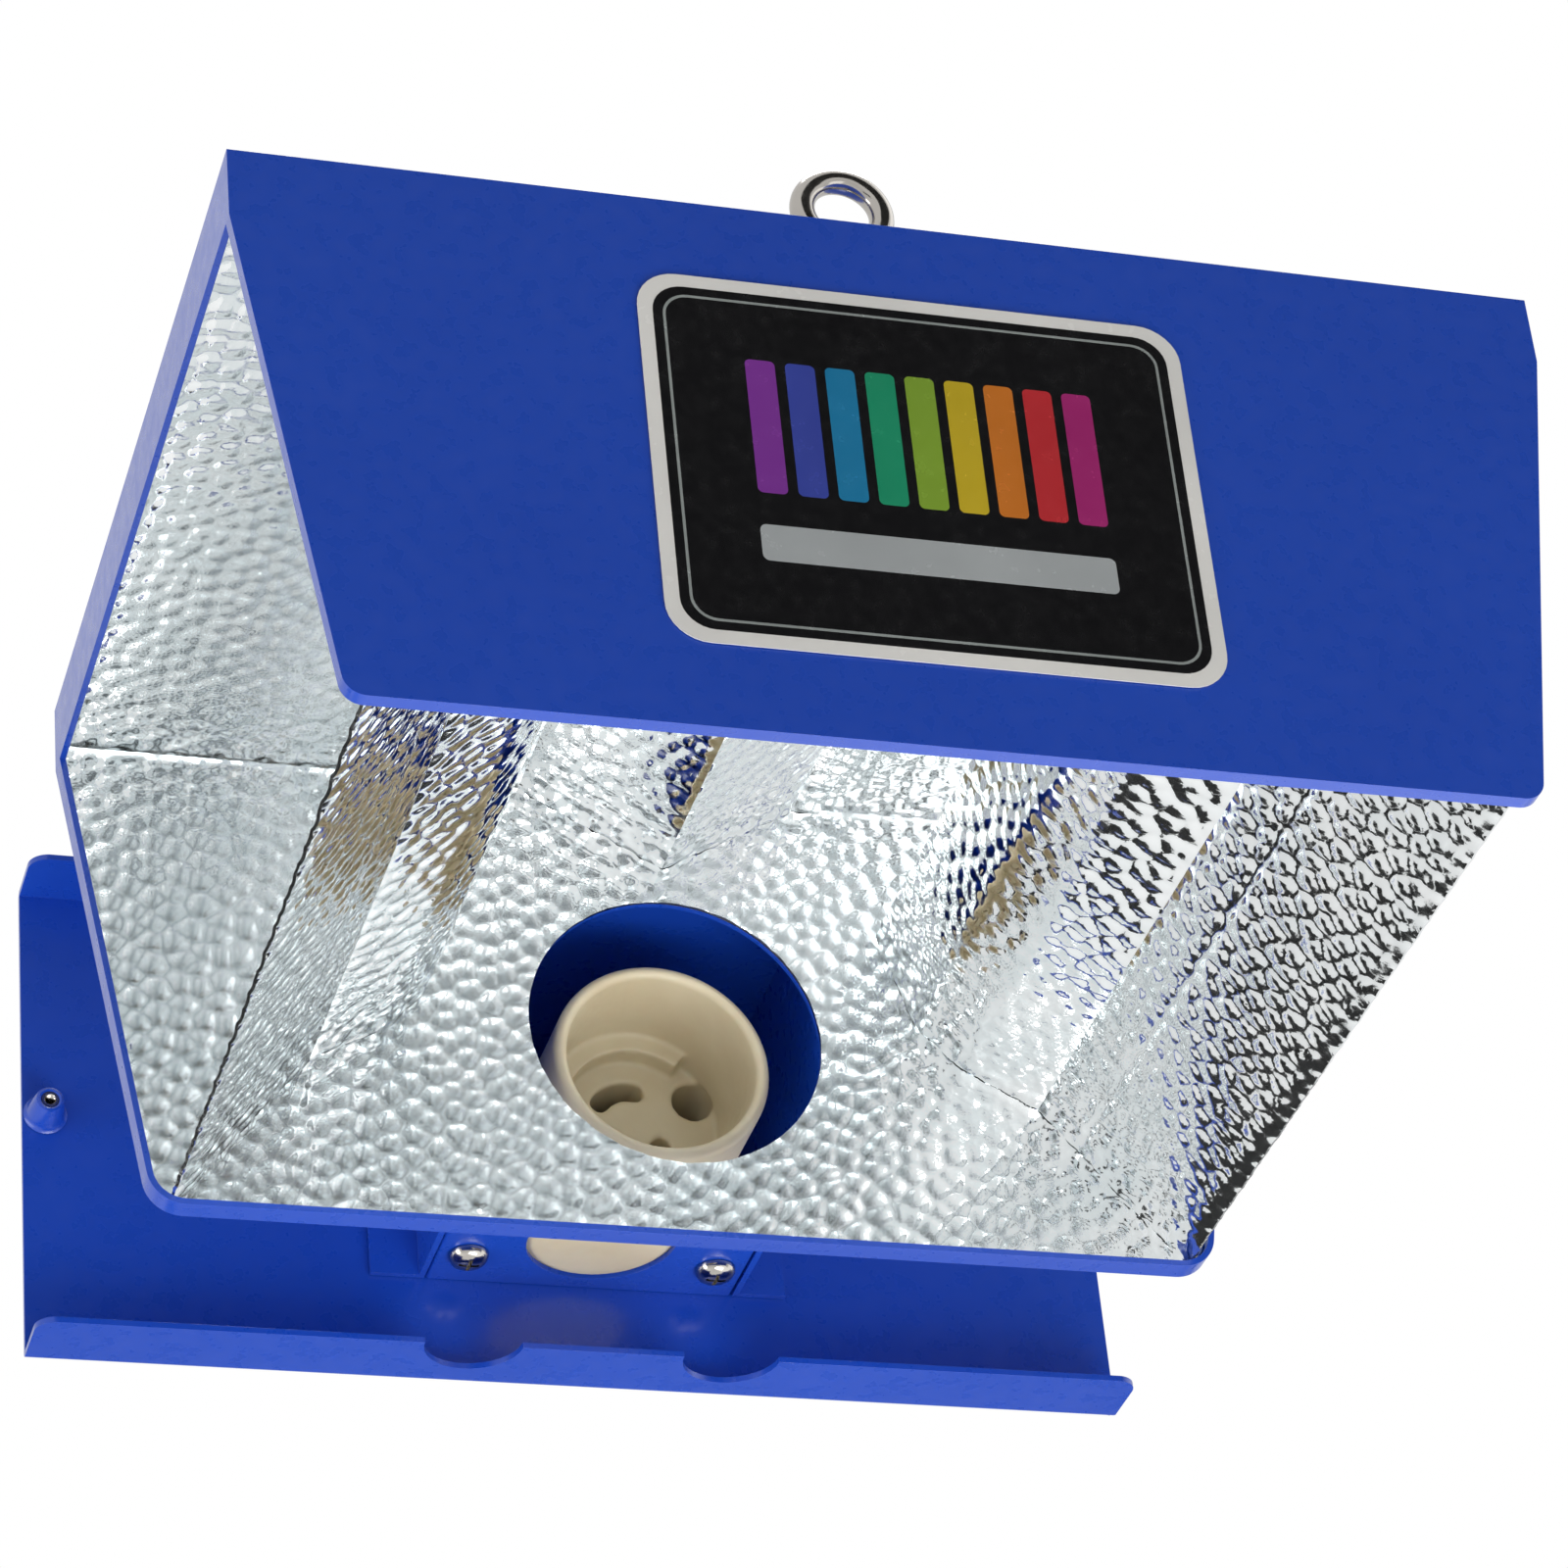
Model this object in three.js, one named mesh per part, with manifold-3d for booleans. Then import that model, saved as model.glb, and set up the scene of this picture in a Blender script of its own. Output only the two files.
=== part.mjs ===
// Grow lamp: an open-ended sheet-metal hood with a hammered aluminium reflector inside, hung from two
// eye bolts. A U-shaped housing behind the hood holds the ceramic lamp holder and carries the rear tray.
// Millimetres, +Z up. X runs across the hood and Y from the front panel back to the tray. In this file
// y = 0 is the front panel's outer face and z = 0 is the mouth. The last lines move the whole lamp along
// Y, so that its origin lies below the middle of it.

import * as THREE from 'three';
import { mergeVertices } from 'three/addons/utils/BufferGeometryUtils.js';
import Module from 'manifold-3d';

const wasm = await Module();
wasm.setup();

// ---------------------------------------------------------------- driving dimensions
const STEEL = 1.5;              // painted sheet
const FOIL = 0.7;               // hammered aluminium sheet
const GAP = 0.3;                // between pieces that lie on each other
const PAST = 1;                 // how far a cutter runs past what it cuts

const MOUTH_HALF = 125;         // hood, half-width at the mouth
const TOP_HALF = 144;           // hood, half-width at the shoulders and the top
const SHOULDER_Z = 116;         // where the sloping edges stop and the end flanges start
const HOOD_HEIGHT = 133;
const HOOD_DEPTH = 205;
const FRONT_CORNER = 5;         // rounding of the front panel's lower corners
const REAR_CORNER = 9;
const FRONT_RETURN = 3.5;       // turned-in edge, measured from the panel's outer face
const REAR_RETURN = 5.5;

const LAMP_Z = 55;              // lamp axis, along Y at x = 0
const LAMP_HOLE = { z: 56, r: 35.5 };
const CEILING_Z = 121.5;        // underside of the reflector's ceiling
const RIDGE_Z = 100.5;          // lowest line of the V ridge
const RIDGE_HALF = 34;
const RIDGE_FOOT = 7;
// A wing's section from the lip at the mouth to the free edge beside the ridge, for the right side.
const WING_SECTION = [
  [124.4, 0], [118.6, 3.6], [96.1, 31], [87.5, 41.5], [69.1, 51.5], [59.4, 62], [52.1, 86.8],
];
const WING_EAR = { x0: 73, x1: 85, z0: 46, z1: 62 };

const TRAY_BACK = 300;
const TRAY_HALF = 136.6;
const TRAY_BOTTOM = 13;
const TRAY_TOP = 143;
const TRAY_FLANGE = 19;
const TRAY_CORNER = 5;
const NOTCH = { x: 32, r: 12 };
const BOSS = { x: 131, z: 79, length: 7.5, base: 4.6, tip: 3.1, bore: 2.2 };
const BUSH = { outer: 2, inner: 1.3 };

const HOUSING_HALF = 40.5;
const HOUSING_TOP = 100;
const HOUSING_BOTTOM = 40;
const HOUSING_TAB = 12;         // flanges on the hood and on the tray
const SHELF_FRONT = 257;
const SHELF_LIP = 8;            // the shelf's ends turn up along the housing's walls
const FOOT = { y: 275.5, r: 17.9, clearance: 0.5 };

const RIM_Y = 214;              // lamp holder, front rim
const HOLDER_R = 26.3;
const CUP = { r: 23, floorR: 21.5, depth: 30.2, soft: 1.4 };
const CUP_BACK = 250;
// Places inside the cup are polar about the lamp's axis, with 0 degrees to the right and 90 upwards.
const PIN_SLOT = { r: 9, half: 2.35, from: 80, to: 143 };
const INDEX_HOLE = { r: 5, offset: 17.6, angle: 25 };
const LEDGE = { r: 17.1, height: 5.5, from: 52, to: 190 };
const CONTACT = { angle: 130, inner: 1.3, outer: 1.9, length: 14 };
const POCKET_DEPTH = 26;
const BLOCK = { half: 22, top: 70, back: 294, corner: 4 };
const EAR = { half: 37, depth: 15, height: 6, corner: 5 };
const HOLDER_SCREW = { x: 31, y: 285, shank: 2.4, hole: 2.8, head: 5 };
const HOLDER_NUT = { height: 4, across: 8 };

const EYE_Y = { front: 32, rear: 172 };
const EYE = { z: 162.5, r: 11.9, wire: 2.8, shank: 2.9, collar: 4.2, hole: 3.4 };
const EYE_NUT = { height: 4.6, across: 10 };
const WASHER = { thickness: 1.2, r: 7.5 };

const GLAND = { x: 0, z: 84.5, thread: 8, bore: 4, hex: 20, collar: 5, sleeve: 8, dome: 10, length: 17 };
const GLAND_NUT = { hex: 19, height: 4, bore: 8.2 };
const LABEL = { width: 119, height: 93, z: 66.3, thickness: 0.4, corner: 9 };
const RIVET = { shank: 1.6, hole: 1.9, head: 3.2, tail: 2.6, rise: 1 };
const RIVET_X = HOUSING_HALF + HOUSING_TAB / 2;
const RIVET_Z = { lower: 56, upper: 84 };

// ---------------------------------------------------------------- derived places
const PANEL_BACK = HOOD_DEPTH - STEEL;
const LINER_FRONT = STEEL + GAP;
const LINER_BACK = PANEL_BACK - GAP;
const WING_FRONT = LINER_FRONT + FOIL + GAP;
const WING_BACK = LINER_BACK - FOIL - GAP;
const TRAY_FACE = TRAY_BACK - STEEL;
const HOUSING_FRONT = HOOD_DEPTH + GAP;
const HOUSING_BACK = TRAY_FACE - GAP;
const SHELF_Z = HOUSING_BOTTOM;
const SEAT_Z = SHELF_Z + STEEL + GAP;
const CUP_FLOOR = RIM_Y + CUP.depth;
const POCKET_BACK = CUP_FLOOR + POCKET_DEPTH;
const LABEL_FACE = -GAP - LABEL.thickness;
const GLAND_FACE = TRAY_BACK + GAP;

// ---------------------------------------------------------------- solids and cuts
function solid(geometry) {
  const bare = geometry.clone();
  bare.deleteAttribute('normal');
  bare.deleteAttribute('uv');
  const merged = mergeVertices(bare, 1e-4);
  const mesh = new wasm.Mesh({
    numProp: 3,
    vertProperties: new Float32Array(merged.attributes.position.array),
    triVerts: new Uint32Array(merged.index.array),
  });
  return new wasm.Manifold(mesh);
}

function geometryOf(manifold) {
  const mesh = manifold.getMesh();
  const geometry = new THREE.BufferGeometry();
  geometry.setAttribute('position', new THREE.BufferAttribute(mesh.vertProperties, 3));
  geometry.setIndex(new THREE.BufferAttribute(mesh.triVerts, 1));
  geometry.computeVertexNormals();
  return geometry;
}

function box(x0, x1, y0, y1, z0, z1) {
  const geometry = new THREE.BoxGeometry(Math.abs(x1 - x0), y1 - y0, z1 - z0);
  geometry.translate((x0 + x1) / 2, (y0 + y1) / 2, (z0 + z1) / 2);
  return solid(geometry);
}

function extruded(shape, depth) {
  return new THREE.ExtrudeGeometry(shape, { depth, bevelEnabled: false, curveSegments: 6 });
}

// An outline drawn in the XZ plane, extruded along Y.
function extrudeY(shape, y0, y1) {
  return solid(extruded(shape, y1 - y0).rotateX(Math.PI / 2).translate(0, y1, 0));
}

// An outline drawn in the XY plane, extruded along Z.
function extrudeZ(shape, z0, z1) {
  return solid(extruded(shape, z1 - z0).translate(0, 0, z0));
}

function roundZ(r, x, y, z0, z1, sides = 24) {
  const geometry = new THREE.CylinderGeometry(r, r, z1 - z0, sides);
  return solid(geometry.rotateX(Math.PI / 2).translate(x, y, (z0 + z1) / 2));
}

function roundY(r, x, z, y0, y1, sides = 24) {
  const geometry = new THREE.CylinderGeometry(r, r, y1 - y0, sides);
  return solid(geometry.translate(x, (y0 + y1) / 2, z));
}

// Signed area of a closed profile, to turn it the way round that a lathe needs.
function counterclockwise(profile) {
  const points = profile.map(([u, v]) => new THREE.Vector2(u, v));
  return THREE.ShapeUtils.area(points) > 0 ? points : points.reverse();
}

// A ring's profile comes back to its first corner.
function closed(profile) {
  return [...profile, profile[0]];
}

// A profile of [radius, z] pairs turned about the vertical line through (x, y).
function turnedZ(profile, x, y, sides = 24) {
  const geometry = new THREE.LatheGeometry(counterclockwise(profile), sides);
  return solid(geometry.rotateX(Math.PI / 2).translate(x, y, 0));
}

// A profile of [radius, y] pairs turned about the line along Y through (x, z).
function turnedY(profile, x, z, sides = 24) {
  const geometry = new THREE.LatheGeometry(counterclockwise(profile), sides);
  return solid(geometry.translate(x, 0, z));
}

function outline(points) {
  return new THREE.Shape(points.map(([u, v]) => new THREE.Vector2(u, v)));
}

function roundedRectangle(u0, u1, v0, v1, r) {
  const shape = new THREE.Shape();
  shape.absarc(u1 - r, v0 + r, r, -Math.PI / 2, 0);
  shape.absarc(u1 - r, v1 - r, r, 0, Math.PI / 2);
  shape.absarc(u0 + r, v1 - r, r, Math.PI / 2, Math.PI);
  shape.absarc(u0 + r, v0 + r, r, Math.PI, 1.5 * Math.PI);
  return shape;
}

// A bent strip: an open line of points, thickened to its left with mitred bends.
function bentStrip(points, thickness) {
  const line = points.map(([u, v]) => new THREE.Vector2(u, v));
  const normals = line.slice(1).map((point, i) => {
    const along = point.clone().sub(line[i]).normalize();
    return new THREE.Vector2(-along.y, along.x);
  });
  const far = line.map((point, i) => {
    const before = normals[Math.max(i - 1, 0)];
    const after = normals[Math.min(i, normals.length - 1)];
    const mitre = before.clone().add(after).normalize();
    return point.clone().addScaledVector(mitre, thickness / mitre.dot(after));
  });
  return new THREE.Shape([...line, ...far.reverse()]);
}

function hexagon(x, y, acrossFlats) {
  const r = acrossFlats / Math.sqrt(3);
  const corners = [];
  for (let i = 0; i < 6; i += 1) {
    const angle = i * Math.PI / 3;
    corners.push([x + r * Math.cos(angle), y + r * Math.sin(angle)]);
  }
  return outline(corners);
}

// ---------------------------------------------------------------- materials
function finish(color, roughness, metalness) {
  return new THREE.MeshStandardMaterial({ color, roughness, metalness });
}

const BLUE_PAINT = finish(0x2341a5, 0.35, 0);
const HAMMERED = finish(0xdde1e2, 0.15, 1);
const CERAMIC = finish(0xded5bd, 0.45, 0);
const BRIGHT_STEEL = finish(0xc8c6c2, 0.2, 1);
const BRASS = finish(0xb59a55, 0.35, 1);
const BLACK_NYLON = finish(0x18191b, 0.55, 0);
const LABEL_PRINT = finish(0x0b0c0e, 0.3, 0);

const lamp = new THREE.Group();

function add(name, manifold, material) {
  const mesh = new THREE.Mesh(geometryOf(manifold), material);
  mesh.name = name;
  lamp.add(mesh);
}

// ---------------------------------------------------------------- hood
// The outline of the front and rear panels: a trapezoid with straight shoulders, inset evenly.
function panelOutline(inset, corner, top = HOOD_HEIGHT) {
  const slope = Math.atan2(SHOULDER_Z, TOP_HALF - MOUTH_HALF);
  const shoulder = TOP_HALF - inset;
  const mouth = MOUTH_HALF - inset / Math.sin(slope) + inset / Math.tan(slope);
  const bend = SHOULDER_Z - inset * Math.tan(Math.PI / 4 - slope / 2);
  const tangent = corner * Math.tan(slope / 2);
  const shape = new THREE.Shape();
  shape.absarc(mouth - tangent, inset + corner, corner, -Math.PI / 2, slope - Math.PI / 2);
  shape.lineTo(shoulder, bend);
  shape.lineTo(shoulder, top);
  shape.lineTo(-shoulder, top);
  shape.lineTo(-shoulder, bend);
  shape.absarc(tangent - mouth, inset + corner, corner, 1.5 * Math.PI - slope, 1.5 * Math.PI);
  return shape;
}

// One folded sheet: front, top and rear, with end flanges below the top and turned-in free edges.
function hoodShell() {
  const wide = TOP_HALF + PAST;
  const inside = TOP_HALF - STEEL;
  const rearEdge = HOOD_DEPTH - REAR_RETURN;
  const front = extrudeY(panelOutline(0, FRONT_CORNER), 0, FRONT_RETURN)
    .subtract(extrudeY(panelOutline(STEEL, FRONT_CORNER - STEEL), STEEL, FRONT_RETURN + PAST));
  const rear = extrudeY(panelOutline(0, REAR_CORNER), rearEdge, HOOD_DEPTH)
    .subtract(extrudeY(panelOutline(STEEL, REAR_CORNER - STEEL), rearEdge - PAST, PANEL_BACK));
  const lid = box(-TOP_HALF, TOP_HALF, 0, HOOD_DEPTH, SHOULDER_Z, HOOD_HEIGHT)
    .subtract(box(-inside, inside, STEEL, PANEL_BACK, SHOULDER_Z - PAST, HOOD_HEIGHT - STEEL))
    .intersect(box(-wide, wide, 0, HOOD_DEPTH, 0, HOOD_HEIGHT));
  let shell = front.add(rear).add(lid);
  shell = shell.subtract(roundY(LAMP_HOLE.r, 0, LAMP_HOLE.z, PANEL_BACK - PAST, HOOD_DEPTH + PAST, 56));
  for (const y of Object.values(EYE_Y)) {
    shell = shell.subtract(roundZ(EYE.hole, 0, y, HOOD_HEIGHT - STEEL - PAST, HOOD_HEIGHT + PAST));
  }
  return shell;
}

// One hammered sheet folded into a channel: front, ceiling and rear.
function reflectorLiner() {
  const top = CEILING_Z + FOIL;
  const inset = STEEL + GAP;
  const wide = TOP_HALF + PAST;
  let liner = extrudeY(panelOutline(inset, REAR_CORNER - inset, top), LINER_FRONT, LINER_BACK);
  liner = liner.subtract(box(-wide, wide, LINER_FRONT + FOIL, LINER_BACK - FOIL, 0, CEILING_Z));
  return liner.subtract(roundY(LAMP_HOLE.r, 0, LAMP_HOLE.z, LINER_BACK - 2, LINER_BACK + PAST, 56));
}

// A V-folded sheet above the lamp, with narrow feet against the ceiling.
function reflectorRidge() {
  const high = CEILING_Z - GAP - FOIL;
  const foot = RIDGE_HALF + RIDGE_FOOT;
  const line = [[-foot, high], [-RIDGE_HALF, high], [0, RIDGE_Z], [RIDGE_HALF, high], [foot, high]];
  return extrudeY(bentStrip(line, FOIL), WING_FRONT, WING_BACK);
}

// A bent wing beside the lamp. Its two ears lie flat against the liner's front and rear.
function reflectorWing(side) {
  const line = WING_SECTION.map(([x, z]) => [side * x, z]);
  const strip = bentStrip(side > 0 ? line.reverse() : line, side > 0 ? -FOIL : FOIL);
  const near = side * WING_EAR.x0;
  const far = side * WING_EAR.x1;
  const inset = STEEL + GAP;
  return extrudeY(strip, WING_FRONT, WING_BACK)
    .add(box(near, far, WING_FRONT, WING_FRONT + FOIL, WING_EAR.z0, WING_EAR.z1))
    .add(box(near, far, WING_BACK - FOIL, WING_BACK, WING_EAR.z0, WING_EAR.z1))
    .intersect(extrudeY(panelOutline(inset, REAR_CORNER - inset), 0, HOOD_DEPTH));
}

function labelPlate() {
  const half = LABEL.width / 2;
  const low = LABEL.z - LABEL.height / 2;
  const shape = roundedRectangle(-half, half, low, low + LABEL.height, LABEL.corner);
  return extrudeY(shape, LABEL_FACE, -GAP);
}

// ---------------------------------------------------------------- rear tray
// A shallow channel. Two notches in the lower flange let a screwdriver reach the holder's screws.
function rearTray() {
  const front = TRAY_BACK - TRAY_FLANGE;
  const plan = roundedRectangle(-TRAY_HALF, TRAY_HALF, front, TRAY_BACK + TRAY_CORNER, TRAY_CORNER);
  const keep = box(-TRAY_HALF, TRAY_HALF, front, TRAY_BACK, TRAY_BOTTOM, TRAY_TOP);
  const wide = TRAY_HALF + PAST;
  const low = TRAY_BOTTOM + STEEL;
  const high = TRAY_TOP - STEEL;
  let tray = extrudeZ(plan, TRAY_BOTTOM, TRAY_TOP)
    .intersect(keep)
    .subtract(box(-wide, wide, front - PAST, TRAY_FACE, low, high));
  for (const side of [-1, 1]) {
    tray = tray.subtract(roundZ(NOTCH.r, side * NOTCH.x, front, TRAY_BOTTOM - PAST, low + PAST, 32));
    for (const z of Object.values(RIVET_Z)) {
      tray = tray.subtract(roundY(RIVET.hole, side * RIVET_X, z, TRAY_FACE - PAST, TRAY_BACK + PAST, 16));
    }
  }
  return tray.subtract(roundY(GLAND.thread + GAP, GLAND.x, GLAND.z, TRAY_FACE - PAST, TRAY_BACK + PAST, 32));
}

// A conical boss on the tray's front face, and the threaded bush inside it.
function trayBoss(side) {
  const base = TRAY_FACE - GAP;
  const tip = base - BOSS.length;
  const ring = [[BOSS.bore, base], [BOSS.base, base], [BOSS.tip, tip], [BOSS.bore, tip]];
  return turnedY(closed(ring), side * BOSS.x, BOSS.z);
}

function bossBush(side) {
  const base = TRAY_FACE - 2 * GAP;
  const tip = base - BOSS.length + GAP;
  const { outer, inner } = BUSH;
  const ring = [[inner, base], [outer, base], [outer, tip], [inner, tip]];
  return turnedY(closed(ring), side * BOSS.x, BOSS.z, 16);
}

// ---------------------------------------------------------------- holder housing and shelf
// An inverted channel from the hood's rear panel to the tray, with tabs turned out at both ends.
function holderHousing() {
  const inner = HOUSING_HALF - STEEL;
  const outer = HOUSING_HALF + HOUSING_TAB;
  const tab = HOUSING_BACK - STEEL;
  const hollow = box(-inner, inner, HOUSING_FRONT - PAST, HOUSING_BACK + PAST, HOUSING_BOTTOM - PAST,
    HOUSING_TOP - STEEL);
  let housing = box(-HOUSING_HALF, HOUSING_HALF, HOUSING_FRONT, HOUSING_BACK, HOUSING_BOTTOM, HOUSING_TOP)
    .subtract(hollow);
  for (const side of [-1, 1]) {
    const near = side * inner;
    const far = side * outer;
    housing = housing
      .add(box(near, far, HOUSING_FRONT, HOUSING_FRONT + STEEL, HOUSING_BOTTOM, HOUSING_TOP))
      .add(box(near, far, tab, HOUSING_BACK, HOUSING_BOTTOM, HOUSING_TOP));
    for (const z of Object.values(RIVET_Z)) {
      housing = housing.subtract(roundY(RIVET.hole, side * RIVET_X, z, tab - PAST, HOUSING_BACK + PAST, 16));
    }
  }
  return housing;
}

// The plate that the holder stands on. Its ends turn up inside the housing's walls.
function holderShelf() {
  const half = HOUSING_HALF - STEEL - GAP;
  const { x, y, hole } = HOLDER_SCREW;
  const top = SHELF_Z + STEEL;
  let shelf = box(-half, half, SHELF_FRONT, HOUSING_BACK, SHELF_Z, top);
  for (const side of [-1, 1]) {
    const lip = box(side * (half - STEEL), side * half, SHELF_FRONT, HOUSING_BACK, SHELF_Z, top + SHELF_LIP);
    shelf = shelf.add(lip).subtract(roundZ(hole, side * x, y, SHELF_Z - PAST, top + PAST, 20));
  }
  return shelf.subtract(roundZ(FOOT.r + FOOT.clearance, 0, FOOT.y, SHELF_Z - PAST, top + PAST, 48));
}

function housingRivet(side, z) {
  const front = HOUSING_BACK - STEEL - GAP;
  const back = TRAY_BACK + GAP;
  const { shank, head, tail, rise } = RIVET;
  const set = [[0, front - rise], [0.7 * tail, front - 0.8 * rise], [tail, front], [shank, front]];
  const dome = [[shank, back], [head, back], [0.7 * head, back + 0.8 * rise], [0, back + rise]];
  return turnedY([...set, ...dome], side * RIVET_X, z, 16);
}

// ---------------------------------------------------------------- ceramic lamp holder
function lampHolder() {
  const { soft } = CUP;
  const barrel = [[0, RIM_Y], [HOLDER_R - soft, RIM_Y], [HOLDER_R, RIM_Y + soft], [HOLDER_R, CUP_BACK - soft],
    [HOLDER_R - soft, CUP_BACK], [0, CUP_BACK]];
  const recess = [[0, RIM_Y - PAST], [CUP.r + soft, RIM_Y - PAST], [CUP.r + soft, RIM_Y],
    [CUP.r, RIM_Y + soft], [CUP.floorR, CUP_FLOOR], [0, CUP_FLOOR]];
  const block = roundedRectangle(-BLOCK.half, BLOCK.half, SEAT_Z, BLOCK.top, BLOCK.corner);
  const earFront = HOLDER_SCREW.y - EAR.depth / 2;
  const ears = roundedRectangle(-EAR.half, EAR.half, earFront, earFront + EAR.depth, EAR.corner);
  const earTop = SEAT_Z + EAR.height;
  let holder = turnedY(barrel, 0, LAMP_Z, 48)
    .add(extrudeY(block, CUP_BACK - 2, BLOCK.back))
    .add(extrudeZ(ears, SEAT_Z, earTop))
    .add(roundZ(FOOT.r, 0, FOOT.y, SHELF_Z + GAP, SEAT_Z + PAST, 40))
    .subtract(turnedY(recess, 0, LAMP_Z, 48))
    .add(cupLedge())
    .subtract(indexHole());
  for (const turn of [0, 180]) holder = holder.subtract(pinSlot(turn));
  for (const side of [-1, 1]) {
    const { x, y, hole } = HOLDER_SCREW;
    holder = holder.subtract(roundZ(hole, side * x, y, SEAT_Z - PAST, earTop + PAST, 20));
  }
  return holder;
}

// The [x, z] place at an angle in degrees and a distance from the lamp's axis.
function aroundLamp(angle, distance) {
  const turn = THREE.MathUtils.degToRad(angle);
  return [distance * Math.cos(turn), LAMP_Z + distance * Math.sin(turn)];
}

// A raised arc at the bottom of the cup that guides the lamp's cap as it twists in.
function cupLedge() {
  const from = THREE.MathUtils.degToRad(LEDGE.from);
  const to = THREE.MathUtils.degToRad(LEDGE.to);
  const shape = new THREE.Shape();
  shape.absarc(0, LAMP_Z, CUP.r + 1, from, to);
  shape.absarc(0, LAMP_Z, LEDGE.r, to, from, true);
  return extrudeY(shape, CUP_FLOOR - LEDGE.height, CUP_FLOOR + PAST);
}

// The round hole beside the cup's wall, for the lamp's locating pin.
function indexHole() {
  const [x, z] = aroundLamp(INDEX_HOLE.angle, INDEX_HOLE.offset);
  return roundY(INDEX_HOLE.r, x, z, CUP_FLOOR - PAST, POCKET_BACK, 28);
}

// A curved slot for one of the lamp's two contact pins: an arc about the lamp's axis with round ends.
function pinSlot(turn) {
  const { r, half } = PIN_SLOT;
  const from = THREE.MathUtils.degToRad(PIN_SLOT.from + turn);
  const to = THREE.MathUtils.degToRad(PIN_SLOT.to + turn);
  const shape = new THREE.Shape();
  shape.absarc(0, LAMP_Z, r + half, from, to);
  shape.absarc(...aroundLamp(PIN_SLOT.to + turn, r), half, to, to + Math.PI);
  shape.absarc(0, LAMP_Z, r - half, to, from, true);
  shape.absarc(...aroundLamp(PIN_SLOT.from + turn, r), half, from - Math.PI, from);
  return extrudeY(shape, CUP_FLOOR - PAST, POCKET_BACK);
}

// A spring tube at the bottom of each pin slot's pocket.
function holderContact(turn) {
  const { inner, outer, length } = CONTACT;
  const back = POCKET_BACK - GAP;
  const front = back - length;
  const ring = [[inner, front], [outer, front], [outer, back], [inner, back]];
  return turnedY(closed(ring), ...aroundLamp(CONTACT.angle + turn, PIN_SLOT.r), 16);
}

// ---------------------------------------------------------------- fasteners
// A pan-head screw from below: its crowned head lies under headZ, its shank runs up to topZ.
function panScrew(x, y, headZ, topZ, shank, head) {
  const crown = head * 0.62;
  return turnedZ([[0, headZ - crown + 0.9], [head * 0.26, headZ - crown + 0.9], [head * 0.34, headZ - crown],
    [head * 0.66, headZ - crown * 0.86], [head * 0.9, headZ - crown * 0.5], [head, headZ], [shank, headZ],
    [shank, topZ], [0, topZ]], x, y, 28);
}

function nut(x, y, z0, height, acrossFlats, bore) {
  return extrudeZ(hexagon(x, y, acrossFlats), z0, z0 + height)
    .subtract(roundZ(bore, x, y, z0 - PAST, z0 + height + PAST, 20));
}

// ---------------------------------------------------------------- eye bolts
function eyeBolt(y) {
  const ring = new THREE.TorusGeometry(EYE.r - EYE.wire, EYE.wire, 14, 36);
  const foot = HOOD_HEIGHT - STEEL - GAP - EYE_NUT.height - 2;
  const { shank, collar } = EYE;
  const neck = EYE.z - EYE.r + 1;
  const stem = [[0, foot], [shank - 0.5, foot], [shank, foot + 0.5], [shank, neck - 2],
    [collar, neck - 1.4], [collar, neck], [shank, neck + 1.4], [0, neck + 1.4]];
  return solid(ring.rotateX(Math.PI / 2).translate(0, y, EYE.z)).add(turnedZ(stem, 0, y));
}

function addEye(name, y) {
  const seat = HOOD_HEIGHT + GAP;
  const washer = roundZ(WASHER.r, 0, y, seat, seat + WASHER.thickness, 28)
    .subtract(roundZ(EYE.hole, 0, y, seat - PAST, seat + WASHER.thickness + PAST, 20));
  const bore = EYE.shank + 0.2;
  const above = seat + WASHER.thickness + GAP;
  const below = HOOD_HEIGHT - STEEL - GAP - EYE_NUT.height;
  add(`eye_bolt_${name}`, eyeBolt(y), BRIGHT_STEEL);
  add(`eye_washer_${name}`, washer, BRIGHT_STEEL);
  add(`eye_top_nut_${name}`, nut(0, y, above, EYE_NUT.height, EYE_NUT.across, bore), BRIGHT_STEEL);
  add(`eye_lock_nut_${name}`, nut(0, y, below, EYE_NUT.height, EYE_NUT.across, bore), BRIGHT_STEEL);
}

// ---------------------------------------------------------------- cable gland
function glandBody() {
  const { x, z, thread, bore, hex, collar, sleeve } = GLAND;
  const inside = HOUSING_BACK - sleeve;
  const outside = GLAND_FACE + sleeve;
  return extrudeY(hexagon(x, z, hex), GLAND_FACE, GLAND_FACE + collar)
    .add(roundY(thread, x, z, inside, outside, 28))
    .subtract(roundY(bore, x, z, inside - PAST, outside + PAST, 20));
}

function glandDome() {
  const { x, z, bore, sleeve, dome, length } = GLAND;
  const front = GLAND_FACE + sleeve + GAP;
  const back = GLAND_FACE + length;
  const ring = [[bore, front], [dome, front], [dome, front + 4], [0.8 * dome, back - 1], [0.6 * dome, back],
    [bore, back]];
  return turnedY(closed(ring), x, z, 28);
}

function glandLockNut() {
  const back = TRAY_FACE - GAP;
  const front = back - GLAND_NUT.height;
  return extrudeY(hexagon(GLAND.x, GLAND.z, GLAND_NUT.hex), front, back)
    .subtract(roundY(GLAND_NUT.bore, GLAND.x, GLAND.z, front - PAST, back + PAST, 28));
}

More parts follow.
